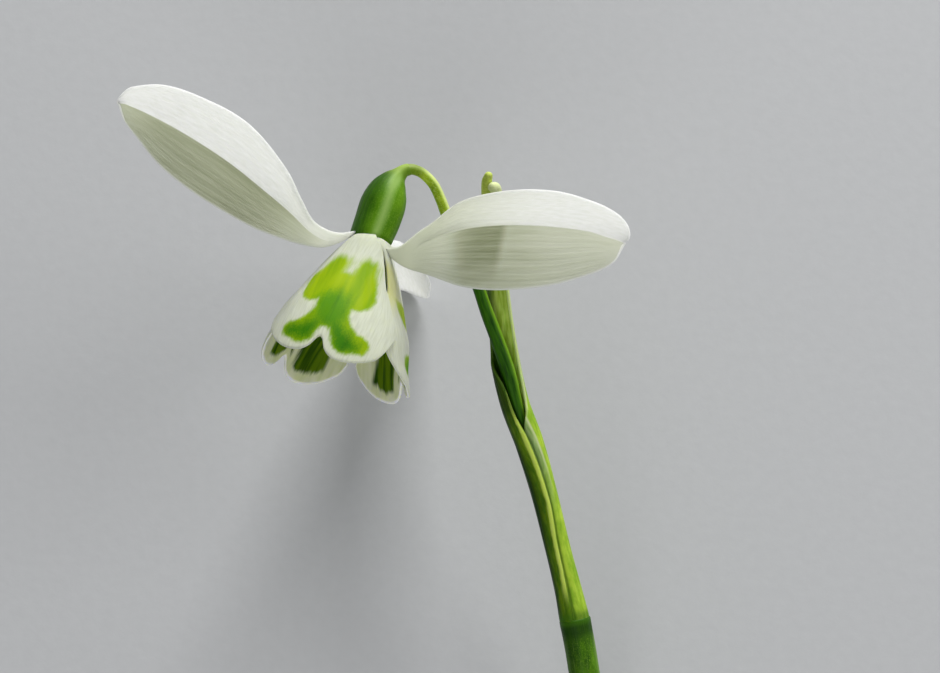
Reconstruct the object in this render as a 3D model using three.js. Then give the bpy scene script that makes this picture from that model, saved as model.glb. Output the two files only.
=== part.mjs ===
// A snowdrop bloom on its cut stem, lying on a surface. Millimetres, +Z up.
//
// Every piece is drawn in the flower's growing frame: +X to its right, +Y up the stem, +Z to its
// front, with the origin where the petals meet the ovary. The last group lays that frame back, so
// that the back petal's tip and the lower stem carry the flower on the surface Z = 0.

import * as THREE from 'three';

// ---------------------------------------------------------------- driving dimensions

const LAID_BACK = THREE.MathUtils.degToRad(18);   // the growing frame's +Y against the surface
const ROOT_HEIGHT = 26.5;                         // the origin of the growing frame above Z = 0
const BOX_MIDDLE = { x: 0.0, y: -36.06 };         // middle of the laid flower's box before centring

const BLADE = 0.6;                                // thickness of every petal and of the sheath
const NOD_LEFT = THREE.MathUtils.degToRad(18.8);  // the nodding axis, swung left of straight down
const NOD_FRONT = THREE.MathUtils.degToRad(16.6); // and brought to the front
const BELL_ROOT = new THREE.Vector3(-0.22, 0.08, 0);

// radius of the bell of inner petals at each distance along the nodding axis
const BELL_PROFILE = [
  [0.1, 1.75], [0.5, 2.25], [1.0, 2.6], [1.9, 3.0], [4.0, 3.85],
  [7.2, 5.15], [9.2, 5.95], [11.6, 6.6], [13.2, 6.85], [14.5, 7.0],
];
const INNER_BASE = 0.1;                           // where an inner petal starts along the axis
// share of the full half angle that an inner petal has opened to, along the axis
const INNER_OPENING = [[0.1, 0.48], [0.9, 0.54], [1.5, 0.77], [2.4, 0.94], [4.0, 0.99], [14.5, 1.0]];
// how far down the axis an inner petal reaches, from its notched middle out to its margin
const INNER_LENGTH = [
  [0.0, 12.2], [0.07, 12.4], [0.2, 13.3], [0.36, 14.0], [0.5, 14.2],
  [0.66, 14.0], [0.8, 13.4], [0.92, 12.4], [1.0, 11.1],
];
const INNER_PETALS = [
  // azimuth of its middle, half angle, how far each margin is lifted out of the bell, its length
  { name: 'inner_tepal_front', middle: -14.7, half: 61, liftLeft: 0.15, liftRight: 0.4, share: 0.985 },
  { name: 'inner_tepal_right', middle: 106, half: 58, liftLeft: -0.45, liftRight: 0.3, share: 0.98 },
  { name: 'inner_tepal_left', middle: -135, half: 57, liftLeft: -0.5, liftRight: -0.5, share: 0.97 },
];

// An outer petal is a row of stations from its claw to its tip. Each station has a point on the
// keel, one on the margin that is nearer the front or the right, and one on the other margin.
const OUTER_RIGHT = [
  [[0.8, -0.5, 1.9], [1.3, -0.2, 2.5], [0.5, -1.0, 1.5]],
  [[2.2, -0.5, 3.1], [2.5, -0.4, 4.0], [1.8, -1.7, 2.9]],
  [[3.6, 0.0, 4.1], [3.8, 0.3, 5.6], [3.4, -2.7, 3.4]],
  [[5.2, 0.7, 5.2], [5.2, 1.3, 7.8], [5.2, -3.2, 3.8]],
  [[8.0, 1.2, 7.0], [8.0, 3.2, 11.6], [8.2, -4.2, 4.6]],
  [[12.0, 1.4, 9.4], [12.2, 4.3, 15.3], [12.2, -4.6, 6.2]],
  [[16.1, 1.2, 11.8], [16.4, 4.1, 17.2], [16.2, -4.3, 8.6]],
  [[19.7, 0.6, 13.9], [20.1, 3.0, 17.9], [20.0, -3.3, 11.2]],
  [[21.7, 0.1, 15.0], [22.3, 1.8, 17.3], [21.8, -2.1, 13.3]],
  [[22.9, -0.2, 15.8], [23.1, 0.5, 16.3], [22.8, -0.7, 15.6]],
];
const OUTER_LEFT = [
  [[-2.4, 0.8, 0.8], [-2.2, 1.1, 1.5], [-2.5, 0.6, 0.1]],
  [[-3.6, 0.4, 1.2], [-3.4, 0.7, 2.2], [-3.8, 0.0, 0.3]],
  [[-4.9, 0.2, 1.8], [-4.6, 1.0, 3.1], [-5.2, -0.4, 0.7]],
  [[-6.3, 1.1, 2.4], [-6.0, 1.9, 4.2], [-6.8, -0.2, 0.9]],
  [[-7.8, 2.6, 3.0], [-7.0, 3.8, 5.3], [-9.0, 0.4, 0.6]],
  [[-10.1, 4.5, 4.0], [-8.4, 6.7, 7.3], [-12.0, 1.7, 1.4]],
  [[-13.7, 7.4, 5.4], [-11.6, 10.4, 10.0], [-16.3, 4.1, 2.4]],
  [[-17.7, 10.0, 6.8], [-15.7, 12.8, 11.3], [-20.1, 7.2, 4.2]],
  [[-21.0, 11.9, 8.0], [-20.0, 14.2, 11.0], [-22.6, 10.0, 6.4]],
  [[-22.9, 12.5, 8.8], [-22.7, 13.7, 10.3], [-23.5, 11.6, 8.2]],
  [[-23.7, 12.8, 9.2], [-23.6, 13.1, 9.4], [-23.7, 12.5, 9.1]],
];
const OUTER_BACK = [
  [[0.1, -0.6, -2.0], [0.8, -0.8, -2.0], [-0.6, -0.4, -2.0]],
  [[0.3, 0.2, -5.0], [1.9, -0.7, -5.0], [-1.5, -0.5, -5.0]],
  [[0.5, 0.6, -9.0], [3.5, -2.7, -9.0], [-3.1, -1.8, -9.0]],
  [[0.6, 0.6, -15.0], [4.6, -5.1, -15.0], [-4.4, -3.8, -15.0]],
  [[0.8, -0.6, -21.0], [4.3, -5.4, -21.0], [-3.3, -4.8, -21.0]],
  [[1.2, -1.9, -25.0], [4.0, -5.1, -25.0], [-1.8, -4.6, -25.0]],
  [[1.5, -3.2, -27.1], [3.6, -4.6, -26.75], [-0.8, -4.4, -26.75]],
];
const OUTER_PETALS = [
  { name: 'outer_tepal_right', stations: OUTER_RIGHT, bow: 0.45, wave: 0.22, phase: 0.4 },
  { name: 'outer_tepal_left', stations: OUTER_LEFT, bow: 0.45, wave: 0.2, phase: 2.1 },
  { name: 'outer_tepal_back', stations: OUTER_BACK, bow: 1.1, wave: 0.15, phase: 1.2 },
];

// the ovary's middle line as distance along the nodding axis and offset to the right, and its radius
const OVARY = [
  [-0.45, -0.3, 1.7], [-0.8, -0.36, 1.98], [-2.0, -0.48, 2.15], [-3.8, -0.5, 2.16],
  [-5.2, -0.45, 1.86], [-6.3, -0.25, 1.3], [-7.0, 0.0, 0.82],
];
const OVARY_NECK = [[2.45, 6.85, -2.15, 0.62], [2.9, 7.0, -2.25, 0.58]];

// the stalk, the sheath and the stem: points on the middle line, and the radius there
const PEDICEL = [
  [3.3, 6.98, -2.36, 0.52], [4.2, 6.6, -2.7, 0.5], [5.2, 5.6, -3.1, 0.5], [5.9, 4.2, -3.5, 0.52],
  [6.6, 2.4, -3.8, 0.54], [7.9, -0.6, -4.0, 0.56], [9.5, -4.4, -4.0, 0.58],
  [10.9, -9.3, -4.0, 0.58], [12.5, -15.1, -4.15, 0.54], [14.25, -19.4, -4.4, 0.48],
  [15.85, -23.9, -4.6, 0.44], [17.4, -29.8, -4.8, 0.43], [18.3, -34.3, -4.95, 0.43],
];
const SPATHE = [
  [18.9, -36.4, -5.0, 1.3], [18.25, -33.4, -4.9, 1.14], [17.4, -29.8, -4.8, 1.08],
  [15.9, -23.9, -4.6, 1.1], [14.4, -19.2, -4.5, 1.14], [12.95, -15.1, -4.4, 1.18],
  [11.75, -9.3, -4.3, 1.26], [10.9, -4.5, -4.1, 1.36], [10.45, 0.3, -3.8, 1.3],
  [10.3, 3.6, -3.3, 1.15], [10.3, 6.7, -2.9, 0.8],
];
const SCAPE_RADIUS = 1.48;
const SCAPE_HANGING = [[18.9, -36.75, -5.0], [19.35, -39.8, -5.2], [19.75, -43.0, -5.55]];
const SCAPE_LOWER = [
  // x, distance below the origin measured along the surface, height of the middle line
  [20.7, 45.5, 5.6], [21.6, 51.0, 3.6], [22.3, 56.5, 2.2], [22.5, 62.0, 1.58],
  [22.0, 68.0, SCAPE_RADIUS], [20.5, 75.0, SCAPE_RADIUS], [17.9, 82.0, SCAPE_RADIUS],
];
const NODE_SWELL = 1.6;                           // the knot where the sheath sits on the stem
const NECK = { radius: 0.6, length: 1.6 };        // the end of the stem inside the sheath

const STAMENS = 6;
const STAMEN = [
  // distance along the axis, distance from the axis, radius of the stamen
  [0.45, 0.98, 0.16], [1.3, 1.0, 0.2], [1.5, 1.0, 0.4], [3.4, 0.88, 0.34], [5.4, 0.7, 0.2],
  [6.8, 0.55, 0.07],
];
const STYLE = [[0.35, 0, 0.3], [2.5, 0, 0.24], [6.0, 0, 0.22], [9.0, 0, 0.2], [9.4, 0, 0.11]];

// ---------------------------------------------------------------- the flower's own directions

const AXIS = new THREE.Vector3(
  -Math.sin(NOD_LEFT) * Math.cos(NOD_FRONT),
  -Math.cos(NOD_LEFT) * Math.cos(NOD_FRONT),
  Math.sin(NOD_FRONT),
);
const FRONT = new THREE.Vector3(0, 0, 1).addScaledVector(AXIS, -AXIS.z).normalize();
const RIGHT = new THREE.Vector3().crossVectors(FRONT, AXIS);

/** A point by its distance along the nodding axis and its offsets to the right and the front. */
function inFlower(along, right, front) {
  return BELL_ROOT.clone()
    .addScaledVector(AXIS, along)
    .addScaledVector(RIGHT, right)
    .addScaledVector(FRONT, front);
}

/** A point by its distance along the axis, its radius, and its azimuth from the front, to the right. */
function aroundAxis(along, radius, azimuth) {
  return inFlower(along, radius * Math.sin(azimuth), radius * Math.cos(azimuth));
}

/** Moves a point that would lie under the surface up to it. */
function keepAboveSurface(point) {
  const height = point.y * Math.sin(LAID_BACK) + point.z * Math.cos(LAID_BACK) + ROOT_HEIGHT;
  if (height < 0) point.z -= height / Math.cos(LAID_BACK);
  return point;
}

/** The growing frame's point at this x, this far below the origin along the surface, this high. */
function overSurface(x, below, height) {
  const rise = height - ROOT_HEIGHT;
  return new THREE.Vector3(
    x,
    -below * Math.cos(LAID_BACK) + rise * Math.sin(LAID_BACK),
    below * Math.sin(LAID_BACK) + rise * Math.cos(LAID_BACK),
  );
}

// ---------------------------------------------------------------- smooth curves through stations

/** The value at x on a smooth curve through rows of [x, value, ...]; column picks the value. */
function along(rows, x, column = 1) {
  const last = rows.length - 1;
  let i = 0;
  while (i < last - 1 && x > rows[i + 1][0]) i += 1;
  const slope = (j) => {
    const a = rows[Math.max(j - 1, 0)];
    const b = rows[Math.min(j + 1, last)];
    return (b[column] - a[column]) / (b[0] - a[0]);
  };
  const width = rows[i + 1][0] - rows[i][0];
  const t = THREE.MathUtils.clamp((x - rows[i][0]) / width, 0, 1);
  const t2 = t * t;
  const t3 = t2 * t;
  return (2 * t3 - 3 * t2 + 1) * rows[i][column] + (t3 - 2 * t2 + t) * width * slope(i)
    + (3 * t2 - 2 * t3) * rows[i + 1][column] + (t3 - t2) * width * slope(i + 1);
}

/** Rows of [distance, ...values], with the distance from 0 to 1 along the rows' first three values. */
function withDistance(rows) {
  let total = 0;
  const distances = rows.map((row, i) => {
    if (i > 0) total += Math.hypot(...[0, 1, 2].map((k) => row[k] - rows[i - 1][k]));
    return total;
  });
  return rows.map((row, i) => [distances[i] / total, ...row]);
}

// ---------------------------------------------------------------- closed bodies

/** A BufferGeometry from points and triangles, with its faces turned outward. */
function closedBody(points, triangles) {
  let volume = 0;
  const cross = new THREE.Vector3();
  for (const [a, b, c] of triangles) {
    volume += points[a].dot(cross.crossVectors(points[b], points[c]));
  }
  const index = triangles.flatMap(([a, b, c]) => (volume > 0 ? [a, b, c] : [a, c, b]));
  const geometry = new THREE.BufferGeometry().setFromPoints(points);
  geometry.setIndex(index);
  geometry.computeVertexNormals();
  return geometry;
}

/** A curved sheet of even thickness. middle(u, v) is its middle surface, u and v from 0 to 1. */
function sheet(middle, lengthSteps, widthSteps, thickness, fit = (point) => point) {
  const rows = lengthSteps + 1;
  const columns = widthSteps + 1;
  const grid = [];
  for (let i = 0; i < rows; i += 1) {
    for (let j = 0; j < columns; j += 1) grid.push(middle(i / lengthSteps, j / widthSteps));
  }
  const at = (i, j) => grid[THREE.MathUtils.clamp(i, 0, lengthSteps) * columns
    + THREE.MathUtils.clamp(j, 0, widthSteps)];
  const offset = (i, j, side) => {
    const lengthwise = at(i + 1, j).clone().sub(at(i - 1, j));
    const widthwise = at(i, j + 1).clone().sub(at(i, j - 1));
    const normal = lengthwise.cross(widthwise).normalize();
    return fit(at(i, j).clone().addScaledVector(normal, side * thickness / 2));
  };
  const points = [];
  for (const side of [1, -1]) {
    for (let i = 0; i < rows; i += 1) {
      for (let j = 0; j < columns; j += 1) points.push(offset(i, j, side));
    }
  }
  const under = rows * columns;
  const id = (i, j) => i * columns + j;
  const triangles = [];
  for (let i = 0; i < lengthSteps; i += 1) {
    for (let j = 0; j < widthSteps; j += 1) {
      const [a, b, c, d] = [id(i, j), id(i + 1, j), id(i + 1, j + 1), id(i, j + 1)];
      triangles.push([a, b, c], [a, c, d]);
      triangles.push([a + under, c + under, b + under], [a + under, d + under, c + under]);
    }
  }
  const rim = [];
  for (let j = 0; j < widthSteps; j += 1) rim.push(id(0, j));
  for (let i = 0; i < lengthSteps; i += 1) rim.push(id(i, widthSteps));
  for (let j = widthSteps; j > 0; j -= 1) rim.push(id(lengthSteps, j));
  for (let i = lengthSteps; i > 0; i -= 1) rim.push(id(i, 0));
  rim.forEach((a, k) => {
    const b = rim[(k + 1) % rim.length];
    triangles.push([a, b, b + under], [a, b + under, a + under]);
  });
  return closedBody(points, triangles);
}

/** A round body along a middle line. rows are [x, y, z, radius]; stations are shares of the way. */
function stalk(rows, stations, sides, radiusAt = (radius) => radius) {
  const line = withDistance(rows);
  const pointAt = (s) => new THREE.Vector3(along(line, s, 1), along(line, s, 2), along(line, s, 3));
  const points = [];
  let across = new THREE.Vector3(0, 0, 1);
  for (const s of stations) {
    const ahead = pointAt(Math.min(s + 0.005, 1)).sub(pointAt(Math.max(s - 0.005, 0))).normalize();
    across = across.clone().addScaledVector(ahead, -across.dot(ahead)).normalize();
    const third = new THREE.Vector3().crossVectors(ahead, across);
    for (let k = 0; k < sides; k += 1) {
      const angle = (2 * Math.PI * k) / sides;
      const radius = radiusAt(along(line, s, 4), s, angle);
      points.push(pointAt(s)
        .addScaledVector(across, radius * Math.cos(angle))
        .addScaledVector(third, radius * Math.sin(angle)));
    }
  }
  const triangles = [];
  const rings = stations.length;
  for (let i = 0; i < rings - 1; i += 1) {
    for (let k = 0; k < sides; k += 1) {
      const [a, b] = [i * sides + k, i * sides + ((k + 1) % sides)];
      triangles.push([a, b, b + sides], [a, b + sides, a + sides]);
    }
  }
  points.push(pointAt(stations[0]), pointAt(stations[rings - 1]));
  const lastRing = (rings - 1) * sides;
  for (let k = 0; k < sides; k += 1) {
    const next = (k + 1) % sides;
    triangles.push([rings * sides, next, k]);
    triangles.push([rings * sides + 1, lastRing + k, lastRing + next]);
  }
  return closedBody(points, triangles);
}

/** Even shares from 0 to 1. */
function evenly(steps) {
  return Array.from({ length: steps + 1 }, (_, i) => i / steps);
}

// ---------------------------------------------------------------- the pieces

/** A long outer petal: two halves that meet in a fold along the keel, with wavy margins. */
function outerPetal({ stations, bow, wave, phase }) {
  const rows = withDistance(stations.map(([keel, near, far]) => [...keel, ...near, ...far]));
  const lineAt = (u, first) => new THREE.Vector3(
    along(rows, u, first), along(rows, u, first + 1), along(rows, u, first + 2),
  );
  const middle = (u, w) => {
    const v = 2 * w - 1;
    const reach = Math.abs(v);
    const keel = lineAt(u, 1);
    const near = lineAt(u, 4);
    const far = lineAt(u, 7);
    const ahead = lineAt(Math.min(u + 0.01, 1), 1).sub(lineAt(Math.max(u - 0.01, 0), 1));
    const outward = far.clone().sub(near).cross(ahead).normalize();
    if (outward.dot(AXIS) > 0) outward.negate();
    const belly = bow * 4 * reach * (1 - reach) * Math.sin(Math.PI * Math.min(u + 0.05, 1)) ** 0.5;
    const ripple = wave * reach ** 3 * Math.sin(9 * u + phase + (v < 0 ? 0 : 1.7))
      * Math.sin(Math.PI * u);
    return keel.lerp(v < 0 ? near : far, reach).addScaledVector(outward, belly + ripple);
  };
  return sheet(middle, 22, 12, BLADE, keepAboveSurface);
}

/** A short inner petal: its share of the bell, notched at the end, its margins lapping. */
function innerPetal({ middle, half, liftLeft, liftRight, share }) {
  const surface = (u, w) => {
    const v = 2 * w - 1;
    const reach = Math.abs(v);
    const down = INNER_BASE + u * (share * along(INNER_LENGTH, reach) - INNER_BASE);
    const opening = along(INNER_OPENING, down);
    const azimuth = THREE.MathUtils.degToRad(middle + v * half * opening);
    const lift = (v < 0 ? liftLeft : liftRight) * reach ** 4 * THREE.MathUtils.smoothstep(down, 1.2, 4);
    return aroundAxis(down, along(BELL_PROFILE, down) + lift, azimuth);
  };
  return sheet(surface, 18, 16, BLADE);
}

/** The sheath round the stalk: a rolled sheet, closed low down, open to the front left above. */
function spathe() {
  const rows = withDistance(SPATHE);
  const lap = THREE.MathUtils.degToRad(24);
  const lapLift = BLADE + 0.16;
  const lapSide = THREE.MathUtils.degToRad(100);
  const openSide = THREE.MathUtils.degToRad(155);
  const widestGap = THREE.MathUtils.degToRad(170);
  const middle = (u, w) => {
    // two hooked tips stand above the notch between them
    const tips = 1 - 0.06 * (1 - Math.abs(Math.sin(2 * Math.PI * (w - 0.02) / 0.96)));
    const s = u * (1 - (1 - tips) * u * u);
    const opened = THREE.MathUtils.smoothstep(s, 0.27, 0.6);
    const facing = THREE.MathUtils.lerp(lapSide, openSide, opened);
    const halfGap = THREE.MathUtils.lerp(-lap, widestGap, opened) / 2;
    const angle = facing + THREE.MathUtils.lerp(halfGap, 2 * Math.PI - halfGap, w);
    const radius = along(rows, s, 4)
      + lapLift * (1 - opened) * THREE.MathUtils.smoothstep(w, 0.7, 0.97);
    const centre = new THREE.Vector3(along(rows, s, 1), along(rows, s, 2), along(rows, s, 3));
    const ahead = new THREE.Vector3(along(rows, Math.min(s + 0.01, 1), 1),
      along(rows, Math.min(s + 0.01, 1), 2), along(rows, Math.min(s + 0.01, 1), 3)).sub(centre);
    if (s > 0.99) ahead.set(0, 1, 0);
    ahead.normalize();
    const side = new THREE.Vector3(1, 0, 0).addScaledVector(ahead, -ahead.x).normalize();
    const front = new THREE.Vector3().crossVectors(side, ahead);
    return centre
      .addScaledVector(side, radius * Math.cos(angle))
      .addScaledVector(front, radius * Math.sin(angle));
  };
  return sheet(middle, 26, 16, BLADE);
}

/** The ovary: egg-shaped, faintly three-sided, with a short neck that the stalk meets. */
function ovary() {
  const rows = OVARY.map(([down, right, radius]) => [...inFlower(down, right, 0).toArray(), radius]);
  const threeSided = (radius, s, angle) => radius * (1 + 0.025 * Math.cos(3 * angle));
  return stalk([...rows, ...OVARY_NECK], evenly(14), 16, threeSided);
}

/** The stem: a flat cut end, a swelling at the knot, and a thin end that stands in the sheath. */
function scape() {
  const lower = SCAPE_LOWER.map((row) => overSurface(...row).toArray());
  const knot = new THREE.Vector3(...SCAPE_HANGING[0]);
  const up = knot.clone().sub(new THREE.Vector3(...SCAPE_HANGING[1])).normalize();
  const neckTop = knot.clone().addScaledVector(up, NECK.length);
  const rows = [...lower.reverse(), ...[...SCAPE_HANGING].reverse(), neckTop.toArray()]
    .map((row) => [...row, SCAPE_RADIUS]);
  const line = withDistance(rows);
  const knotAt = line[line.length - 2][0];
  const stations = [...evenly(26).map((s) => s * (knotAt - 0.004)), knotAt, knotAt + 0.0008, 1];
  const radiusAt = (radius, s) => {
    if (s > knotAt + 0.0004) return NECK.radius;
    return radius + (NODE_SWELL - radius) * THREE.MathUtils.smoothstep(s, knotAt - 0.03, knotAt);
  };
  return stalk(rows, stations, 14, radiusAt);
}

/** One stamen of the ring, or the style: a slender body at this azimuth round the axis. */
function slender(profile, azimuth) {
  const rows = profile.map(([down, fromAxis, radius]) => [
    ...aroundAxis(down, fromAxis, azimuth).toArray(), radius,
  ]);
  return stalk(rows, evenly(7), 8);
}

// ---------------------------------------------------------------- assembly

const GREEN = { scape: 0x5f7a2c, spathe: 0x8a9a45, pedicel: 0x86a03c, ovary: 0x4d7a22 };

function piece(name, geometry, color, roughness) {
  const material = new THREE.MeshStandardMaterial({ color, roughness, metalness: 0 });
  const mesh = new THREE.Mesh(geometry, material);
  mesh.name = name;
  return mesh;
}

const growing = new THREE.Group();
growing.rotation.x = LAID_BACK;
growing.position.set(-BOX_MIDDLE.x, -BOX_MIDDLE.y, ROOT_HEIGHT);

for (const petal of OUTER_PETALS) growing.add(piece(petal.name, outerPetal(petal), 0xeef0e6, 0.5));
for (const petal of INNER_PETALS) growing.add(piece(petal.name, innerPetal(petal), 0xe9eee0, 0.5));
growing.add(piece('scape', scape(), GREEN.scape, 0.45));
growing.add(piece('spathe', spathe(), GREEN.spathe, 0.5));
growing.add(piece('pedicel', stalk(PEDICEL, evenly(32), 8), GREEN.pedicel, 0.45));
growing.add(piece('ovary', ovary(), GREEN.ovary, 0.4));
for (let k = 0; k < STAMENS; k += 1) {
  const azimuth = (2 * Math.PI * k) / STAMENS;
  growing.add(piece(`stamen_${k + 1}`, slender(STAMEN, azimuth), 0xe8a62a, 0.6));
}
growing.add(piece('style', slender(STYLE, 0), 0xe6e8cf, 0.5));

const snowdrop = new THREE.Group();
snowdrop.add(growing);

export default snowdrop;
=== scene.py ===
# A snowdrop bloom on its cut stem, lying on a pale surface. Metres, +Z up.
#
# Every piece is drawn in the flower's growing frame, in millimetres: +X to its right, +Y up the
# stem, +Z to its front, with the origin where the petals meet the ovary. to_world() lays that
# frame back and turns it into metres.

import math

import bpy
import numpy as np
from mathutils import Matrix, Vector


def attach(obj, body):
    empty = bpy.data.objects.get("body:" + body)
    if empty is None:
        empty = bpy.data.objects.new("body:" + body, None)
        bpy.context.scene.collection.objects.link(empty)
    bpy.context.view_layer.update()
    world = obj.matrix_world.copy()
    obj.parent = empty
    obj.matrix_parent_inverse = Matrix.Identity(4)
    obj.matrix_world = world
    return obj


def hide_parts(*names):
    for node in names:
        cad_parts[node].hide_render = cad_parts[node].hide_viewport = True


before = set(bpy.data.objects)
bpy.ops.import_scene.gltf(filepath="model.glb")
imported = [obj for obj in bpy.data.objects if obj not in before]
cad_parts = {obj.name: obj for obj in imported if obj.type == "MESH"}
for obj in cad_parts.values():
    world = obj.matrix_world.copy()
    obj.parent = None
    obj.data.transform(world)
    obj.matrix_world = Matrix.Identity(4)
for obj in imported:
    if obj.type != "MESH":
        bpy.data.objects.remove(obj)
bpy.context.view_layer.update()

# -------- driving dimensions, millimetres

MM = 0.001
LAID_BACK = math.radians(18)  # the growing frame's +Y against the surface
ROOT_HEIGHT = 26.5  # the origin of the growing frame above the surface
BOX_MIDDLE_Y = -36.06  # middle of the laid flower before centring

PETAL_BLADE = 0.28  # thickness of a petal in its middle
PETAL_RIM = 0.24  # how far in from a margin a petal thins out
OUTER_GRAIN, OUTER_VEINS = 0.012, 0.02  # how high they stand on both faces of an outer petal
INNER_RIBS, INNER_GROOVES = 0.03, 0.07  # outside and inside an inner petal
SHEATH_BLADE = 0.3
SHEATH_RIM = 0.2
SHEATH_VEINS = 0.02
# how many steps the grid of a sheet has along it and across it
OUTER_GRID = (130, 200)
INNER_GRID = (120, 170)
SHEATH_GRID = (170, 130)
NOD_LEFT = math.radians(18.8)  # the nodding axis, swung left of straight down
NOD_FRONT = math.radians(16.6)  # and brought to the front
BELL_ROOT = np.array([-0.22, 0.08, 0.0])

# radius of the bell of inner petals at each distance along the nodding axis
BELL_PROFILE = [
    [-0.3, 1.66], [0.0, 1.82], [0.25, 2.03], [0.5, 2.27], [1.0, 2.6], [1.9, 3.0], [4.0, 3.85],
    [7.2, 5.15], [9.2, 5.95], [11.6, 6.6], [13.2, 6.85], [14.5, 7.0],
]
INNER_BASE = -0.25  # where an inner petal starts along the axis
# how far down the axis an inner petal reaches, from its notched middle out to its margin
INNER_LENGTH = [
    [0.0, 12.5], [0.04, 12.75], [0.1, 13.6], [0.2, 14.2], [0.32, 14.32],
    [0.46, 14.15], [0.62, 13.65], [0.77, 12.95], [0.91, 12.1], [1.0, 11.1],
]
# how far a margin opens from the middle of an inner petal, in degrees, along the axis
OPENING = [[-0.25, 47], [0.5, 47], [0.9, 48], [1.5, 52], [2.4, 57], [4.0, 60], [14.5, 61]]
OPENING_FRONT = [
    [-0.25, 11], [0.1, 13], [0.6, 21], [1.0, 28], [1.5, 34], [1.9, 37.2], [5.5, 47], [5.9, 50.2],
    [7.4, 56.8], [8.5, 61.7], [9.9, 63.4], [11.0, 62.5], [14.5, 60],
]
OPENING_UNDER = [
    [-0.25, 112], [0.6, 102], [1.2, 88], [1.6, 79.5], [2.0, 75.5], [2.5, 71], [3.0, 67.8],
    [4.0, 64.6], [5.0, 63], [5.5, 63.6], [6.2, 68], [7.0, 70.5], [8.0, 69.5], [10.0, 65],
    [14.5, 60],
]
OPENING_SIDE = [[-0.25, 58], [2.4, 56], [14.5, 57.5]]
# how far the right inner petal stands off the bell along the axis: all of it near the top, and
# its middle and left half further down
RIGHT_FLARE = [
    [-0.25, -0.2], [0.5, -0.5], [1.3, -0.66], [2.4, -0.5], [4.0, -0.2], [6.0, 0.0], [7.8, 0.14],
    [9.0, 0.28], [11.6, 0.34], [12.8, 0.66], [14.3, 1.1],
]
# An inner petal has the azimuth of its middle, how its margins open, how far they are lifted out
# of the bell and from where on, and its share of the length. base is where it starts, corner how
# much the lower corner of its right margin is rounded off, and flare how far it stands off the
# bell. The mark outside is moved across by mark_shift and down by mark_drop, and starts at
# mark_top. stain is how strong the cream streak by its left margin is. The patches inside are
# moved by patch_shift and narrowed by patch_scale.
INNER_PETALS = [
    dict(name="inner_petal_front", node="inner_tepal_front", middle=-14.7, left=OPENING,
         right=OPENING_FRONT, lift_left=0.15, lift_right=0.35, lift_from=1.2, share=1.0,
         corner=1.2),
    dict(name="inner_petal_right", node="inner_tepal_right", middle=106, left=OPENING_UNDER,
         right=OPENING_SIDE, lift_left=-0.42, lift_right=0.3, lift_from=-3.0, share=0.95,
         base=0.12, flare=RIGHT_FLARE, mark_shift=-0.1, mark_drop=-1.2, mark_top=5.6, stain=1.0,
         patch_shift=-0.16, patch_scale=1.35),
    dict(name="inner_petal_left", node="inner_tepal_left", middle=-135, left=OPENING_SIDE,
         right=OPENING_SIDE, lift_left=-0.5, lift_right=-0.5, lift_from=-3.0, share=0.98,
         patch_shift=0.14, patch_scale=1.25),
]

# An outer petal is a row of stations from its claw to its tip. Each station has a point on the
# keel, one on the margin that is nearer the front or the right, and one on the other margin.
OUTER_RIGHT = [
    [[0.7, -0.95, 2.2], [0.55, -0.72, 2.15], [0.75, -1.25, 2.1]],
    [[1.45, -1.05, 2.5], [1.36, -0.6, 2.6], [1.4, -1.65, 2.2]],
    [[2.15, -1.15, 3.0], [2.16, -0.45, 3.3], [2.14, -2.2, 2.5]],
    [[3.05, -0.85, 3.7], [3.03, 0.15, 4.4], [3.1, -2.65, 2.9]],
    [[4.1, -0.15, 4.4], [4.1, 0.97, 5.3], [4.05, -2.9, 3.4]],
    [[5.2, 0.45, 5.3], [5.2, 1.62, 6.7], [5.2, -3.25, 3.8]],
    [[8.0, 1.15, 7.2], [8.0, 3.5, 10.4], [8.2, -4.25, 4.6]],
    [[12.0, 1.5, 9.4], [12.2, 4.35, 15.3], [12.2, -4.7, 6.2]],
    [[16.1, 1.3, 11.8], [16.4, 4.1, 17.2], [16.2, -4.35, 8.6]],
    [[19.7, 0.75, 13.9], [20.1, 3.0, 17.9], [20.0, -3.2, 11.2]],
    [[21.15, 0.23, 14.7], [21.49, 2.4, 17.8], [21.22, -2.66, 12.4]],
    [[21.95, -0.03, 15.3], [22.45, 1.73, 17.6], [22.06, -2.02, 13.4]],
    [[22.43, -0.22, 15.7], [23.02, 0.99, 17.2], [22.47, -1.22, 14.4]],
    [[22.69, -0.35, 15.9], [23.2, 0.3, 16.9], [22.63, -0.77, 15.2]],
    [[22.85, -0.42, 16.1], [23.11, -0.24, 16.5], [22.73, -0.55, 15.7]],
]
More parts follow.
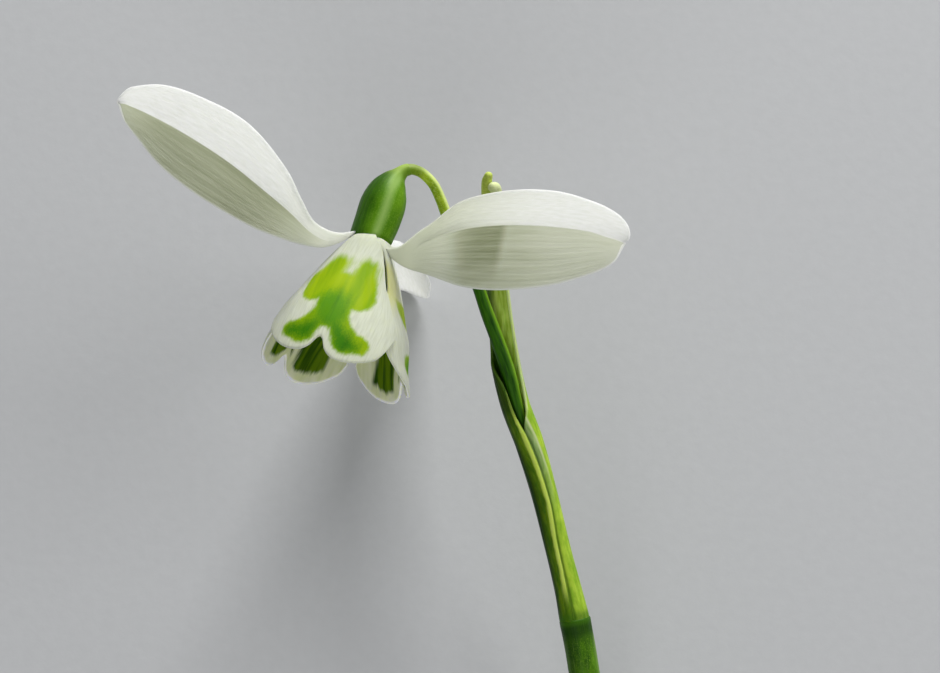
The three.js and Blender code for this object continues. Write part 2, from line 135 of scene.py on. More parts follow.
OUTER_LEFT = [
    [[-1.85, 0.98, 1.05], [-1.8, 1.06, 1.1], [-1.9, 0.9, 1.0]],
    [[-2.5, 0.7, 1.05], [-2.4, 0.95, 1.25], [-2.6, 0.48, 0.85]],
    [[-3.6, 0.4, 1.2], [-3.4, 0.75, 2.1], [-3.8, -0.05, 0.35]],
    [[-4.9, 0.2, 1.8], [-4.6, 1.0, 3.1], [-5.2, -0.45, 0.7]],
    [[-6.3, 1.1, 2.4], [-6.0, 1.9, 4.2], [-6.8, -0.3, 0.9]],
    [[-7.8, 2.6, 3.0], [-7.0, 3.8, 5.3], [-9.1, 0.3, 0.6]],
    [[-10.1, 4.5, 4.0], [-8.4, 6.7, 7.3], [-12.1, 1.35, 1.4]],
    [[-13.7, 7.4, 5.4], [-11.6, 10.4, 10.0], [-16.4, 3.85, 2.4]],
    [[-17.7, 10.0, 6.8], [-15.7, 12.8, 11.3], [-20.2, 6.95, 4.2]],
    [[-21.0, 11.75, 7.8], [-19.4, 14.15, 11.3], [-22.4, 9.6, 5.6]],
    [[-23.13, 12.66, 8.7], [-22.44, 14.0, 10.7], [-23.46, 11.06, 7.0]],
    [[-23.49, 12.72, 9.0], [-23.2, 13.54, 10.2], [-23.69, 11.87, 7.9]],
    [[-23.7, 12.75, 9.2], [-23.6, 13.09, 9.8], [-23.77, 12.39, 8.6]],
    [[-23.86, 12.77, 9.4], [-23.83, 12.83, 9.5], [-23.85, 12.7, 9.3]],
]
OUTER_BACK = [
    [[0.0, -0.6, -1.0], [0.5, -0.7, -1.0], [-0.5, -0.5, -1.0]],
    [[0.1, -0.6, -2.0], [0.8, -0.8, -2.0], [-0.6, -0.4, -2.0]],
    [[0.3, 0.0, -5.0], [2.6, -1.1, -5.0], [-1.5, -0.5, -5.0]],
    [[0.5, 0.2, -9.0], [4.2, -2.5, -9.0], [-3.1, -1.8, -9.0]],
    [[0.6, 0.2, -15.0], [4.8, -3.9, -15.0], [-4.4, -3.8, -15.0]],
    [[0.8, -1.2, -21.0], [4.65, -4.8, -21.0], [-3.3, -4.8, -21.0]],
    [[1.2, -3.1, -25.0], [4.45, -5.1, -24.6], [-1.8, -4.6, -25.0]],
    [[1.4, -3.9, -26.1], [3.6, -4.95, -25.8], [-0.9, -4.4, -26.0]],
    [[1.5, -4.2, -26.4], [2.4, -4.55, -26.3], [0.6, -4.25, -26.3]],
]
FOLD_ROUNDING = (0.3, 0.02)  # of an outer petal's fold, by its claw and further on
# where the sheath behind the right petal shades it: from the left, full, and its right edge, how
# wide that edge is, how much the band leans with its height, and where it fades out lower down
SHEATH_SHADE = (5.6, 9.8, 12.2)
SHADE_EDGE = 0.9
SHADE_LEAN = 0.2
SHADE_FOOT = (-4.6, -0.8)
# how strongly the green shade shows through each petal along its length
SHADE_RIGHT = [[0, 0.1], [0.12, 0.14], [0.25, 0.42], [0.5, 0.46], [0.7, 0.28], [1.0, 0.16]]
SHADE_LEFT = [
    [0, 0.1], [0.2, 0.3], [0.3, 0.66], [0.42, 0.86], [0.6, 0.84], [0.8, 0.76], [1.0, 0.5],
]
SHADE_BACK = [[0, 0.15], [1.0, 0.0]]
# An outer petal bellies out by bow between its keel and its margins, and the margins ripple by
# wave, starting at phase. shade is how strongly painted green shade shows through it. claw is how
# strongly painted shade greys it by its claw and how far up that reaches, and fold says between
# which shares of its length its far half turns away from the light.
OUTER_PETALS = [
    dict(name="outer_petal_right", node="outer_tepal_right", stations=OUTER_RIGHT,
         bow=0.45, wave=0.22, phase=0.4, shade=SHADE_RIGHT, claw=(1.0, 0.75), fold=(0.16, 0.36),
         shade_from=SHEATH_SHADE),
    dict(name="outer_petal_left", node="outer_tepal_left", stations=OUTER_LEFT,
         bow=0.45, wave=0.2, phase=2.1, shade=SHADE_LEFT, claw=(0.4, 0.42), fold=(0.04, 0.2)),
    dict(name="outer_petal_back", node="outer_tepal_back", stations=OUTER_BACK,
         bow=1.1, wave=0.15, phase=1.2, shade=SHADE_BACK, claw=(0.3, 0.3), fold=(0.16, 0.36)),
]

# the ovary's middle line as distance along the nodding axis and offset to the right, its radius,
OVARY = [
    [0.22, -0.48, 1.93], [-0.1, -0.53, 2.03], [-0.8, -0.52, 2.08], [-2.0, -0.48, 2.15],
    [-3.8, -0.5, 2.16], [-5.2, -0.45, 1.86], [-6.3, -0.25, 1.3], [-7.0, 0.0, 0.82],
]
# and its neck: points on the middle line, and the radius there
OVARY_NECK = [[2.45, 6.85, -2.15, 0.62], [2.9, 7.0, -2.25, 0.58]]

# the stalk, the sheath and the stem: points on the middle line, and the radius there
PEDICEL = [
    [2.75, 6.95, -2.2, 0.56], [3.3, 6.98, -2.36, 0.52], [4.2, 6.6, -2.7, 0.5],
    [5.2, 5.6, -3.1, 0.5], [5.9, 4.2, -3.5, 0.52], [6.6, 2.4, -3.7, 0.54], [7.9, -0.2, -3.6, 0.56],
    [9.3, -3.6, -3.4, 0.58], [10.3, -6.5, -3.4, 0.62], [11.35, -9.3, -3.6, 0.66],
    [12.45, -12.5, -3.8, 0.68], [13.1, -15.1, -4.1, 0.64], [14.35, -19.4, -4.4, 0.5],
    [15.85, -23.9, -4.6, 0.44], [17.4, -29.8, -4.8, 0.43], [18.3, -34.3, -4.95, 0.43],
]
SPATHE = [
    [19.0, -37.25, -5.05, 1.22], [18.87, -36.5, -5.02, 1.3], [18.2, -33.4, -4.9, 1.15],
    [17.3, -29.8, -4.8, 1.07], [15.83, -23.9, -4.6, 1.1], [14.45, -19.2, -4.5, 1.22],
    [12.95, -15.1, -4.4, 1.24], [11.75, -9.3, -4.3, 1.26], [11.1, -4.5, -4.1, 1.25],
    [10.8, 0.3, -3.8, 1.15], [10.75, 3.2, -3.3, 1.0], [10.75, 4.7, -3.1, 0.75],
]
# the azimuths of the sheath's two margins round its middle line, from its right over its front
SHEATH_LEFT_MARGIN = [
    [0, 98], [0.46, 98], [0.5, 104], [0.55, 110], [0.58, 124], [0.61, 155], [0.65, 200],
    [0.74, 224], [1.0, 236],
]
SHEATH_RIGHT_MARGIN = [
    [0, 464], [0.45, 462], [0.475, 446], [0.5, 414], [0.54, 388], [0.6, 372], [1.0, 370],
]
# how far the sheath is turned to its right at each share of its length, in degrees
SHEATH_TWIST = [[0, 2], [0.08, 4], [0.2, 12], [0.28, 23], [0.36, 20], [0.44, 9], [0.5, 0], [1, 0]]
SHEATH_CLOSED = (0.44, 0.5)  # the shares of its length between which it opens
SHEATH_RIDGE = 0.16  # how far the fold left of its front seam stands out
SHEATH_GROOVE = 0.12  # and how deep the seam lies
RIDGE_AZIMUTH, SEAM_AZIMUTH = 110, 452  # where they run
CREASE_WIDTH = 9  # in degrees
SHEATH_FLATTENED = 0.5  # how much flatter its back is where it stands open
# the two hooked tips of the sheath: points on the middle line, and the radius there
SHEATH_TIPS = {
    "sheath_tip_left": [
        [10.35, 3.2, -3.5, 0.44], [10.32, 4.9, -3.2, 0.5], [10.36, 5.9, -2.95, 0.5],
        [10.5, 6.36, -2.6, 0.42],
    ],
    "sheath_tip_right": [
        [11.3, 3.0, -3.5, 0.46], [11.35, 4.3, -3.2, 0.52], [11.15, 5.2, -2.85, 0.56],
        [10.9, 5.3, -2.4, 0.48],
    ],
}
SCAPE_RADIUS = 1.48
SCAPE_HANGING = [[18.85, -36.25, -5.0], [19.5, -39.8, -5.2], [20.0, -43.0, -5.55]]
SCAPE_LOWER = [
    # x, distance below the origin measured along the surface, height of the middle line
    [20.85, 45.5, 5.6], [21.6, 51.0, 3.6], [22.3, 56.5, 2.2], [22.5, 62.0, 1.58],
    [22.0, 68.0, SCAPE_RADIUS], [20.5, 75.0, SCAPE_RADIUS], [17.9, 82.0, SCAPE_RADIUS],
]
KNOT_RADIUS = 1.51  # of the knot where the sheath sits on the stem
KNOT_SHARE = 0.03  # the knot's share of the stem's length

STAMENS = 6
STAMEN = [
    # distance along the axis, distance from the axis, radius of the stamen
    [0.45, 0.98, 0.16], [1.3, 1.0, 0.2], [1.5, 1.0, 0.4], [3.4, 0.88, 0.34], [5.4, 0.7, 0.2],
    [6.8, 0.55, 0.07],
]
STYLE = [[0.35, 0, 0.3], [2.5, 0, 0.24], [6.0, 0, 0.22], [9.0, 0, 0.2], [9.4, 0, 0.11]]

# The green mark on an inner petal, as strokes with round ends. Each end has a distance across
# from the petal's middle, a distance down the axis and a radius.
MARK_STROKES = [
    [(-1.45, 4.25, 1.2), (-2.5, 6.6, 1.5)],  # the two lobes at the top
    [(-2.5, 6.6, 1.5), (-2.6, 7.6, 1.45)],
    [(1.35, 4.15, 1.05), (1.75, 7.4, 1.65)],
    [(-1.2, 6.7, 1.6), (1.0, 6.9, 1.6)],  # the band that joins them
    [(0.0, 8.4, 1.8), (0.0, 9.9, 1.65)],  # the waist
    [(-1.0, 10.6, 1.0), (-1.9, 12.3, 1.25)],
    [(-1.9, 12.35, 1.2), (-3.3, 12.35, 0.9)],
    [(1.0, 10.5, 1.0), (2.3, 12.35, 1.2)],
    [(2.3, 12.35, 1.2), (3.75, 12.25, 0.92)],
]
CORE_STROKES = [
    [(-0.2, 9.1, 1.5), (0.1, 10.0, 1.4)],
    [(-0.9, 11.2, 0.4), (-1.7, 12.35, 0.75)],
    [(-1.7, 12.35, 0.75), (-3.1, 12.45, 0.7)],
    [(0.8, 10.9, 0.6), (2.1, 12.6, 0.85)],
    [(2.1, 12.6, 0.85), (3.1, 12.7, 0.5)],
]
MARK_BLEND = 0.16  # how softly the strokes of a mark run together
WHITE_RIM = 0.55  # how far a mark keeps from the petal's margin
FAR_SHADE = 0.85  # how much greyer an outer petal's far half is
# the ovary's pale stripe is partly its own colour and partly a painted highlight
STRIPE_AND_HIGHLIGHT_SIDE = 0.22  # where the ovary's pale stripe runs, 1 at its right

# the camera looks down on the laid flower, at the photo's viewing angle and with its framing
CAMERA_PLACE = [8.74, -8.98, 372.0]
LENS, SENSOR = 150, 36
LAMP_TARGET = [5.0, -12.0, 2.0]
LAMPS = [
    # name, direction in the growing frame, distance and size in metres, power in watts
    ("front_light", (0.8, 0.3, 0.6), 0.7, 0.35, 1.15),
    ("top_light", (0.2, 1.0, 0.06), 0.7, 0.34, 5.3),
    ("low_light", (-0.1, -0.6, 0.8), 0.8, 0.5, 2.0),
]
SKY_COLOR, SKY_STRENGTH = (0.8, 0.82, 0.85, 1), 0.26
FLOOR_HALF = 3.0  # half the floor's width, in metres

# -------- the flower's own directions


def unit(vectors):
    return vectors / np.maximum(np.linalg.norm(vectors, axis=-1, keepdims=True), 1e-12)


AXIS = np.array([
    -math.sin(NOD_LEFT) * math.cos(NOD_FRONT),
    -math.cos(NOD_LEFT) * math.cos(NOD_FRONT),
    math.sin(NOD_FRONT),
])
FRONT = unit(np.array([0.0, 0.0, 1.0]) - AXIS * AXIS[2])
RIGHT = np.cross(FRONT, AXIS)


def in_flower(down, right, front):
    """Points by their distance along the nodding axis and offsets to the right and the front."""
    parts = np.broadcast_arrays(down, right, front)
    return BELL_ROOT + sum(p[..., None] * d for p, d in zip(parts, (AXIS, RIGHT, FRONT)))


def around_axis(down, radius, azimuth):
    """Points by distance along the axis, radius, and azimuth from the front, to the right."""
    return in_flower(down, radius * np.sin(azimuth), radius * np.cos(azimuth))


def to_world(points):
    """Points of the growing frame in millimetres, as points of the part's frame in metres."""
    x, y, z = np.moveaxis(np.asarray(points, float), -1, 0)
    cos, sin = math.cos(LAID_BACK), math.sin(LAID_BACK)
    return np.stack([x, y * cos - z * sin - BOX_MIDDLE_Y, y * sin + z * cos + ROOT_HEIGHT], -1) * MM


def over_surface(x, below, height):
    """The growing frame's point at this x, this far below the origin on the surface, this high."""
    rise = height - ROOT_HEIGHT
    cos, sin = math.cos(LAID_BACK), math.sin(LAID_BACK)
    return [x, -below * cos + rise * sin, below * sin + rise * cos]


# -------- smooth curves through stations


def smooth(value, low, high):
    """0 at low, 1 at high, and a smooth step between them."""
    t = np.clip((value - low) / (high - low), 0, 1)
    return t * t * (3 - 2 * t)


def along(rows, x):
    """The values at x on a smooth curve through rows of [x, value, ...]."""
    rows = np.asarray(rows, float)
    x = np.asarray(x, float)
    knots, values = rows[:, 0], rows[:, 1:]
    places = np.arange(len(rows))
    before, after = np.maximum(places - 1, 0), np.minimum(places + 1, len(rows) - 1)
    slopes = (values[after] - values[before]) / (knots[after] - knots[before])[:, None]
    i = np.clip(np.searchsorted(knots, x) - 1, 0, len(rows) - 2)
    width = (knots[i + 1] - knots[i])[..., None]
    t = np.clip((x - knots[i])[..., None] / width, 0, 1)
    t2, t3 = t * t, t * t * t
    return ((2 * t3 - 3 * t2 + 1) * values[i] + (t3 - 2 * t2 + t) * width * slopes[i]
            + (3 * t2 - 2 * t3) * values[i + 1] + (t3 - t2) * width * slopes[i + 1])


def heading(rows, x, step=0.01):
    """The way that the curve through rows runs at x."""
    return along(rows, np.minimum(x + step, 1)) - along(rows, np.maximum(x - step, 0))


def with_distance(rows):
    """Rows of [distance, ...values], with the distance from 0 to 1 along their first three."""
    rows = np.asarray(rows, float)
    steps = np.linalg.norm(np.diff(rows[:, :3], axis=0), axis=1)
    distance = np.concatenate([[0], np.cumsum(steps)])
    return np.column_stack([distance / distance[-1], rows])


def crowded(steps, ends=1.0):
    """Shares from 0 to 1, closer together at both ends the nearer ends is to 1."""
    even = np.linspace(0, 1, steps + 1)
    return (1 - ends) * even + ends * (1 - np.cos(math.pi * even)) / 2


# -------- meshes

STRAIGHT = "straight"  # a piece's points as if laid out straight, in cm


def add_object(name, data):
    made = bpy.data.objects.new(name, data)
    bpy.context.scene.collection.objects.link(made)
    return made


def mesh_object(name, points, faces, straight, numbers):
    """An object from points in the growing frame, with its straight place and numbers by point."""
    mesh = bpy.data.meshes.new(name)
    placed = to_world(points)
    placed[:, 2] = np.maximum(placed[:, 2], 0)
    mesh.from_pydata(placed.tolist(), [], faces)
    place = mesh.attributes.new(STRAIGHT, "FLOAT_VECTOR", "POINT")
    place.data.foreach_set("vector", (np.asarray(straight, np.float32) / 10).ravel())
    for label, values in numbers.items():
        attribute = mesh.attributes.new(label, "FLOAT", "POINT")
        attribute.data.foreach_set("value", np.asarray(values, np.float32).ravel())
    mesh.shade_smooth()
    mesh.validate()
    return add_object(name, mesh)


def grid_normals(points):
    """The unit normals of a grid of points."""
    return unit(np.cross(np.gradient(points, axis=0), np.gradient(points, axis=1)))


def margin_distance(points):
    """How far each point of a grid is from the grid's nearest margin, measured on the surface."""
    across = np.linalg.norm(np.diff(points, axis=1), axis=-1)
    lengthwise = np.linalg.norm(np.diff(points, axis=0), axis=-1)
    left = np.pad(np.cumsum(across, 1), ((0, 0), (1, 0)))
    start = np.pad(np.cumsum(lengthwise, 0), ((1, 0), (0, 0)))
    return np.minimum.reduce([left, left[:, -1:] - left, start, start[-1:] - start]), left, start


FAR_FACE = 5.0  # keeps the grain of a sheet's two faces apart


def blade(name, points, thickness, rim, relief_front, relief_back, numbers):
    """A closed thin sheet round a grid of points, with rounded margins and relief on both faces.

    numbers holds values for each point of the grid. The number named face is 1 on the side that
    the grid's normals point to and 0 on the other.
    """
    rows, columns = points.shape[:2]
    normals = grid_normals(points)
    inset, across, lengthwise = margin_distance(points)
    rounding = np.sqrt(1 - (1 - np.clip(inset / rim, 0, 1)) ** 2)
    half = (thickness / 2 * (0.16 + 0.84 * rounding))[..., None]
    calm = smooth(inset, 0, 2 * rim)[..., None]
    front = points + normals * (half + calm * relief_front[..., None])
    back = points - normals * (half + calm * relief_back[..., None])
    count = rows * columns
    place = np.arange(count).reshape(rows, columns)
    a, b = place[:-1, :-1].ravel(), place[1:, :-1].ravel()
    c, d = place[1:, 1:].ravel(), place[:-1, 1:].ravel()
    rim_line = np.concatenate([place[0, :-1], place[:-1, -1], place[-1, :0:-1], place[:0:-1, 0]])
    onward = np.roll(rim_line, -1)
    faces = np.concatenate([
        np.column_stack([a, b, c, d]),
        np.column_stack([a, d, c, b]) + count,
        np.column_stack([rim_line, onward, onward + count, rim_line + count]),
    ]).tolist()
    middle = across[:, columns // 2][:, None]
    length = lengthwise[:, columns // 2][:, None] + 0 * across
    straight = [np.stack([across - middle, length, 0 * across + side], -1).reshape(-1, 3)
                for side in (0.0, FAR_FACE)]
    both = {label: np.tile(np.asarray(values).ravel(), 2) for label, values in numbers.items()}
    both["face"] = np.repeat([1.0, 0.0], count)
    both["inset"] = np.tile(inset.ravel(), 2)
    return mesh_object(name, np.concatenate([front.reshape(-1, 3), back.reshape(-1, 3)]), faces,
                       np.concatenate(straight), both)


def stalk(name, rows, stations, sides, relief=None, first_cap=(), last_cap=()):
    """A round body along a middle line of [x, y, z, radius] rows.

    relief(share, angle) scales the radius. A cap is a list of [share of the radius, how far the
    ring stands out past the end], from the end's outside to its middle.
    """
    line = with_distance(rows)
    centres = along(line, stations)
    ahead = unit(heading(line, stations, 0.004)[:, :3])
    angles = np.linspace(0, 2 * math.pi, sides, endpoint=False)
    length = np.linalg.norm(np.diff(line[:, 1:4], axis=0), axis=1).sum()
    across = np.array([0.0, 0.0, 1.0])
    rings, shares, cores = [], [], []

    def ring(i, share, scale, out):
        third = np.cross(ahead[i], across)
        size = centres[i, 3] * scale * (relief(share, angles) if relief else np.ones(sides))
        rings.append(centres[i, :3] + ahead[i] * out
                     + size[:, None] * (np.cos(angles)[:, None] * across
                                        + np.sin(angles)[:, None] * third))
        shares.append(share)
        cores.append(scale)

    for i, share in enumerate(stations):
        across = unit(across - across.dot(ahead[i]) * ahead[i])
        if i == 0:
            for scale, out in reversed(first_cap):
                ring(i, share, scale, -out)
        ring(i, share, 1.0, 0.0)
    for scale, out in last_cap:
        ring(len(stations) - 1, stations[-1], scale, out)
    count = len(rings)
    points = np.concatenate(rings + [rings[0].mean(0)[None], rings[-1].mean(0)[None]])
    around = np.arange(sides)
    following = (around + 1) % sides
    faces = []
    for i in range(count - 1):
        low, high = i * sides, (i + 1) * sides
        faces += np.column_stack([low + around, low + following, high + following,
                                  high + around]).tolist()
    faces += [[count * sides, b, a] for a, b in zip(around.tolist(), following.tolist())]
    faces += [[count * sides + 1, (count - 1) * sides + a, (count - 1) * sides + b]
              for a, b in zip(around.tolist(), following.tolist())]
    spread = np.repeat(shares, sides)
    turn = np.tile(angles, count)
    core = np.repeat(cores, sides)
    ends = [[shares[0], 0, 0], [shares[-1], 0, 0]]
    table = np.concatenate([np.column_stack([spread, turn, core]), ends])
    size = float(np.mean(centres[:, 3])) * table[:, 2]
    straight = np.column_stack([size * np.cos(table[:, 1]), table[:, 0] * length,
                                size * np.sin(table[:, 1])])
    return mesh_object(name, points, faces, straight, {
        "share": table[:, 0], "core": table[:, 2], "side": np.sin(table[:, 1]),
    })


def stands_for(piece, nodes, look):
    """Ties a piece to the CAD nodes that it shows, their body and its material."""
    piece.data.materials.append(look)
    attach(piece, "root")
    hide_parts(*nodes)


# -------- petals


def veins(across, count, sharpness):
    """Ridges from 0 to 1, count of them on each side of the middle."""
    return np.cos(math.pi * across * count) ** 2 ** sharpness


def outer_petal_points(u, v, stations, bow, wave, phase):
    """Points of an outer petal at u from its claw to its tip, and v from its near margin to its
    far one, with the keel at 0."""
    rows = with_distance([sum(station, []) for station in stations])
    lines = along(rows, u)
    keel, near, far = lines[..., :3], lines[..., 3:6], lines[..., 6:9]
    outward = unit(np.cross(far - near, heading(rows, u)[..., :3]))
    outward = np.where((outward @ AXIS)[..., None] > 0, -outward, outward)
    reach = np.abs(v)
    by_claw, further_on = FOLD_ROUNDING
    rounding = np.hypot(v, by_claw + (further_on - by_claw) * smooth(u, 0.12, 0.4))
    belly = bow * 4 * reach * (1 - reach) * smooth(u, 0.08, 0.4) * np.sqrt(1 - u ** 4)
    ripple = (wave * reach ** 3 * np.sin(9 * u + phase + np.where(v < 0, 0, 1.7))
              * np.sin(math.pi * u))
    to_near, to_far = ((rounding - v) / 2)[..., None], ((rounding + v) / 2)[..., None]
    return (keel + (near - keel) * to_near + (far - keel) * to_far
            + outward * (belly + ripple)[..., None])


def shown_through(points, u, shade, shade_from):
    """How much shade shows through at each point of a petal: overall, and from the sheath."""
    overall = along(shade, u)[..., 0]
    if shade_from is None:
        return overall
    left, middle, right = shade_from
    x = points[..., 0] - SHADE_LEAN * points[..., 1]
    band = (smooth(x, left, middle) * (1 - smooth(x, right - SHADE_EDGE, right))
            * smooth(points[..., 1], *SHADE_FOOT))
    return overall + (1 - overall) * band


def outer_petal(name, node, stations, bow, wave, phase, shade, claw, fold, shade_from=None):
    """An outer petal, by the values of OUTER_PETALS."""
    lengthwise = crowded(OUTER_GRID[0], 0.8)
    across = 2 * crowded(OUTER_GRID[1]) - 1
    u, v = np.meshgrid(lengthwise, across, indexing="ij")
    points = outer_petal_points(u, v, stations, bow, wave, phase)
    grown = smooth(u, 0.03, 0.3) * (1 - smooth(u, 0.8, 1.0))
    fine = OUTER_GRAIN * np.cos(2 * math.pi * 17 * v + 2.5 * np.sin(5 * u)) * grown
    main = OUTER_VEINS * veins(v + 0.01 * np.sin(7 * u), 7, 2) * grown
    thickness = PETAL_BLADE * (1 + 0.3 * np.exp(-(v / 0.05) ** 2) * smooth(u, 0.2, 0.4) * (1 - u))
    piece = blade(name, points, thickness, PETAL_RIM, fine + main, fine + main,
                  {"v": v, "shade": shown_through(points, u, shade, shade_from),
                   "claw": claw[0] * (1 - smooth(u, 0.1, claw[1])), "fold": smooth(u, *fold)})
    stands_for(piece, [node], outer_look)


def stroke_distance(across, down, strokes):
    """Signed distance in millimetres from strokes with round ends that run together softly."""
    total = np.zeros_like(across)
    for (across_a, down_a, radius_a), (across_b, down_b, radius_b) in strokes:
        way = np.array([across_b - across_a, down_b - down_a])
        t = ((across - across_a) * way[0] + (down - down_a) * way[1]) / way.dot(way)
        t = np.clip(t, 0, 1)
        gap = np.hypot(across - across_a - t * way[0], down - down_a - t * way[1])
        total += np.exp(-(gap - (radius_a + t * (radius_b - radius_a))) / MARK_BLEND)
    return -MARK_BLEND * np.log(np.maximum(total, 1e-30))


def inner_petal(name, node, middle, left, right, lift_left, lift_right, lift_from, share,
                base=INNER_BASE, corner=0.0, flare=None, mark_shift=0.0, mark_drop=0.0,
                mark_top=-9.0, stain=0.0, patch_shift=0.0, patch_scale=1.0):
    """An inner petal of the bell, by the values of INNER_PETALS."""
    u, v = np.meshgrid(crowded(INNER_GRID[0], 0.6), 2 * crowded(INNER_GRID[1]) - 1, indexing="ij")
    reach = np.abs(v)
    end = share * along(INNER_LENGTH, reach)[..., 0] - corner * smooth(v, 0.76, 1.0)
    down = base + u * (end - base)
    turn = v * np.where(v < 0, along(left, down)[..., 0], along(right, down)[..., 0])
    lift = (np.where(v < 0, lift_left, lift_right) * reach ** 4
            * smooth(down, lift_from, lift_from + 2.8))
    radius = along(BELL_PROFILE, down)[..., 0]
    if flare:
        width = smooth(v, -0.97, -0.5) * (1 - smooth(v, 0.1, 0.6) * smooth(down, 3.5, 6.5))
        lift += along(flare, down)[..., 0] * width
    points = around_axis(down, radius + lift, np.radians(middle + turn))
    grown = smooth(down, 1.5, 5) * smooth(1 - reach, 0, 0.25)
    ribs = INNER_RIBS * veins(v, 5, 1) * grown
    grooves = INNER_GROOVES * veins(v, 5, 1) * grown
    across = np.radians(turn) * radius - mark_shift
    inset = margin_distance(points)[0]
    outline = stroke_distance(across, down - mark_drop, MARK_STROKES)
    outline = np.maximum.reduce([outline, WHITE_RIM - inset, mark_top - down])
    cream = (stain * (smooth(down, 1.8, 3.2) - smooth(down, 5.4, 8.0))
             * (1 - smooth(1 + v, 0.05, 0.6)))
    piece = blade(name, points, np.full_like(u, PETAL_BLADE), PETAL_RIM, ribs, grooves, {
        "v": v, "down": down, "mark": outline, "cream": cream,
        "inner": patch_scale * np.abs(v + patch_shift),
        "core": stroke_distance(across, down - mark_drop, CORE_STROKES),
    })
    stands_for(piece, [node], inner_look)


# -------- sheath, ovary, stalk and stem


def sheath():
    """The sheath round the stalk: a rolled sheet that laps in front, and opens further up."""
    rows = with_distance(SPATHE)
    share, w = np.meshgrid(crowded(SHEATH_GRID[0], 0.5), crowded(SHEATH_GRID[1], 0.8),
                           indexing="ij")
    left = along(SHEATH_LEFT_MARGIN, share)[..., 0]
    right = along(SHEATH_RIGHT_MARGIN, share)[..., 0]
    azimuth = left + (right - left) * w
    line = along(rows, share)
    ridge = np.exp(-((azimuth - RIDGE_AZIMUTH) / CREASE_WIDTH) ** 2)
    seam = np.exp(-((azimuth - SEAM_AZIMUTH) / CREASE_WIDTH) ** 2)
    closed = 1 - smooth(share, *SHEATH_CLOSED)
    based = smooth(share, 0.0, 0.1)
    radius = (line[..., 3] + SHEATH_RIDGE * ridge * based * (0.3 + 0.7 * closed)
              - SHEATH_GROOVE * seam * closed * based - 0.1 * smooth(azimuth, 454, 464))
    ahead = unit(heading(rows, share)[..., :3])
    side = unit(np.array([1.0, 0, 0]) - ahead * ahead[..., :1])
    front = np.cross(side, ahead)
    turn = np.radians(azimuth - along(SHEATH_TWIST, share)[..., 0])
    depth = np.where(np.sin(turn) < 0, 1 - SHEATH_FLATTENED * (1 - closed), 1.0)
    points = (line[..., :3] + side * (radius * np.cos(turn))[..., None]
              + front * (depth * radius * np.sin(turn))[..., None])
    thickness = np.full_like(share, SHEATH_BLADE)
    relief = SHEATH_VEINS * veins(2 * w - 1, 9, 1)
    piece = blade("sheath", points, thickness, SHEATH_RIM, relief, relief,
                  {"share": share, "azimuth": azimuth})
    stands_for(piece, ["spathe"], sheath_look)
    for look, (name, tip) in zip(tip_looks, SHEATH_TIPS.items()):
        hook = stalk(name, tip, crowded(40, 0.3), sides=32,
                     last_cap=[(0.92, 0.16), (0.72, 0.3), (0.4, 0.4)])
        stands_for(hook, ["spathe"], look)


def ovary():
    """The seed capsule on top of the flower, with the neck that runs on into the stalk."""
    rows = [[*in_flower(down, right, 0), radius] for down, right, radius in OVARY]

    def three_sided(share, angles):
        return 1 + 0.025 * np.cos(3 * angles) + 0.006 * np.cos(12 * angles)

    piece = stalk("ovary_skin", rows + OVARY_NECK, crowded(80, 0.3), sides=72,
                  relief=three_sided, first_cap=[(0.9, 0.06)], last_cap=[(0.9, 0.04)])
    stands_for(piece, ["ovary"], ovary_look)


def pedicel():
    """The thin stalk from the ovary down into the sheath."""
    def ribbed(share, angles):
        return 1 + 0.02 * np.cos(5 * angles + 3 * share) + 0.012 * np.sin(60 * share + 2 * angles)

    piece = stalk("stalk", PEDICEL, crowded(220, 0.1), sides=36, relief=ribbed,
                  first_cap=[(0.9, 0.04)], last_cap=[(0.9, 0.04)])
    stands_for(piece, ["pedicel"], stalk_look)


def scape():
    """The stem, from its cut end on the surface to the knot under the sheath."""
    lower = [over_surface(*row) for row in SCAPE_LOWER][::-1]
    rows = [[*point, SCAPE_RADIUS] for point in lower + SCAPE_HANGING[::-1]]

    def ribbed(share, angles):
        swell = (KNOT_RADIUS / SCAPE_RADIUS - 1) * smooth(share, 1 - KNOT_SHARE, 1)
        return (1 + swell + 0.01 * np.cos(8 * angles + 2 * share)
                + 0.006 * np.sin(70 * share + 3 * angles))

    piece = stalk("stem", rows, crowded(260, 0.4), sides=56, relief=ribbed,
                  first_cap=[(0.985, 0.03), (0.9, 0.05), (0.6, 0.0), (0.3, 0.0)],
                  last_cap=[(0.99, 0.04), (0.965, 0.1), (0.92, 0.15), (0.85, 0.17)])
    stands_for(piece, ["scape"], stem_look)


def slender(name, node, profile, azimuth, look):
    """A stamen or the style: a thin round body beside the nodding axis, or on it."""
    rows = [[*around_axis(down, from_axis, azimuth), radius] for down, from_axis, radius in profile]
    piece = stalk(name, rows, crowded(40, 0.3), sides=20,
                  first_cap=[(0.7, 0.04)], last_cap=[(0.6, 0.04)])
    stands_for(piece, [node], look)


# -------- materials


def srgb(red, green, blue):
    """A colour from its 0 to 255 display values."""
    def linear(value):
        value /= 255
        return value / 12.92 if value <= 0.04045 else ((value + 0.055) / 1.055) ** 2.4
    return (linear(red), linear(green), linear(blue), 1.0)


